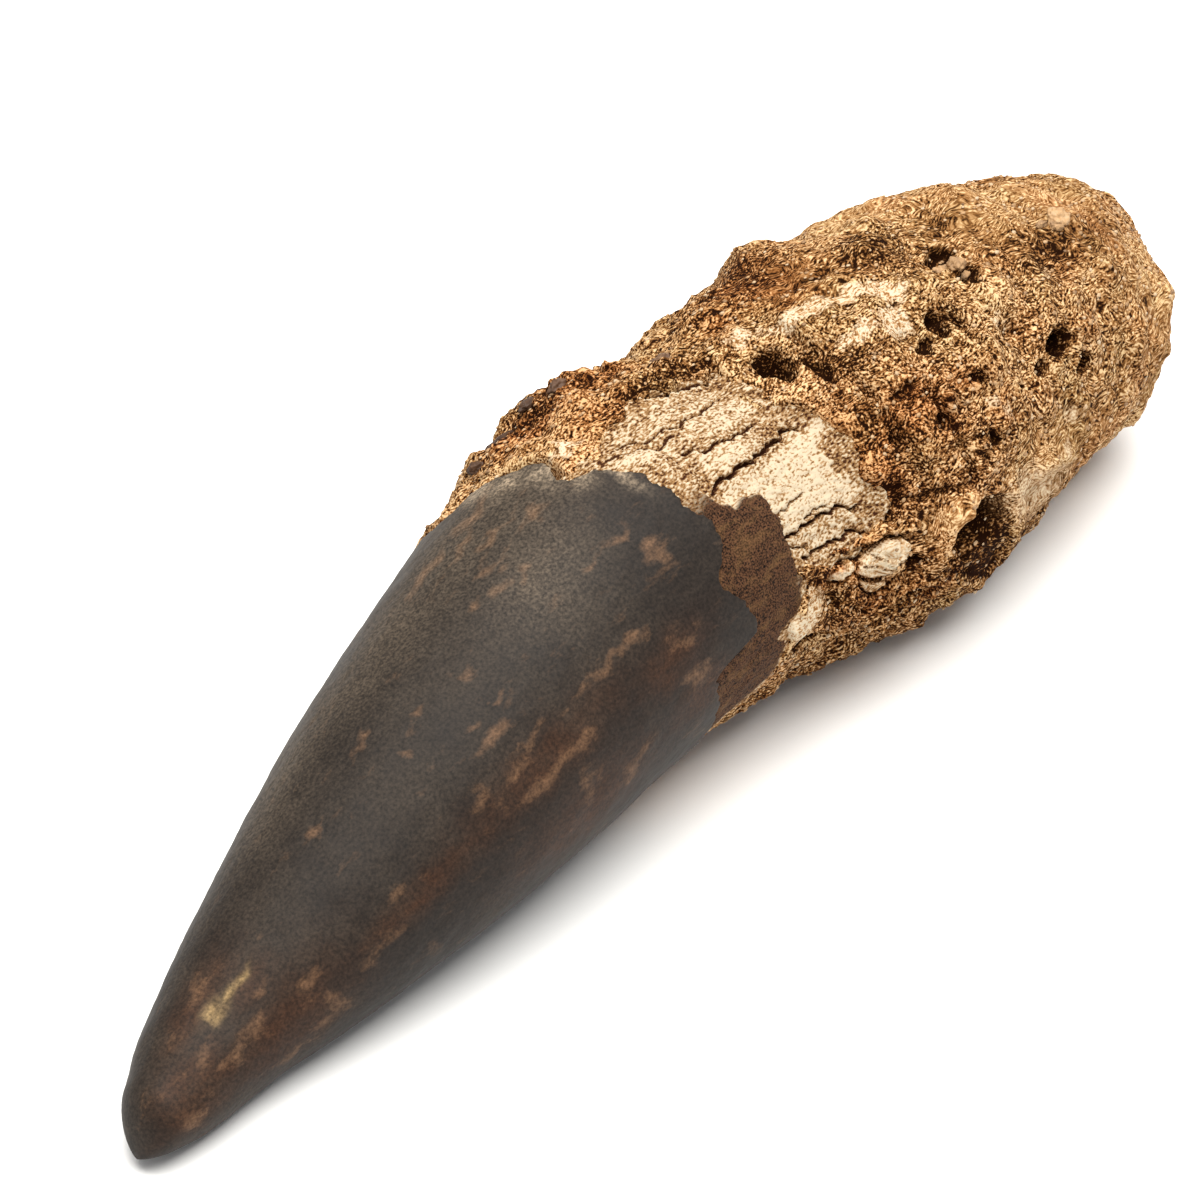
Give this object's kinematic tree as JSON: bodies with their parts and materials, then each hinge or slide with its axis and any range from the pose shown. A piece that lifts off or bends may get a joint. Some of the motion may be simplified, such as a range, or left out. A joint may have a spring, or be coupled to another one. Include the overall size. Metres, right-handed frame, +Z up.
{
  "type": "fossil spinosaurus tooth",
  "caption": "Fossil conical tooth lying on its side: smooth dark enamel crown, fissured pale dentine and a root coated in rough, pitted sandstone.",
  "frame": {"origin": "centre of the tooth's bounding box on the surface it lies on", "axes": "+X along the tooth from the tip of the crown to the broken root end, +Z up from the surface it lies on"},
  "size_m": [0.12, 0.0324, 0.0283],
  "materials": {
    "fossil": "satin grey-brown enamel crown, pale fissured dentine, rough sandy brown matrix on the root"
  },
  "bodies": {
    "root": {"tooth": "fossil"}
  },
  "joints": []
}
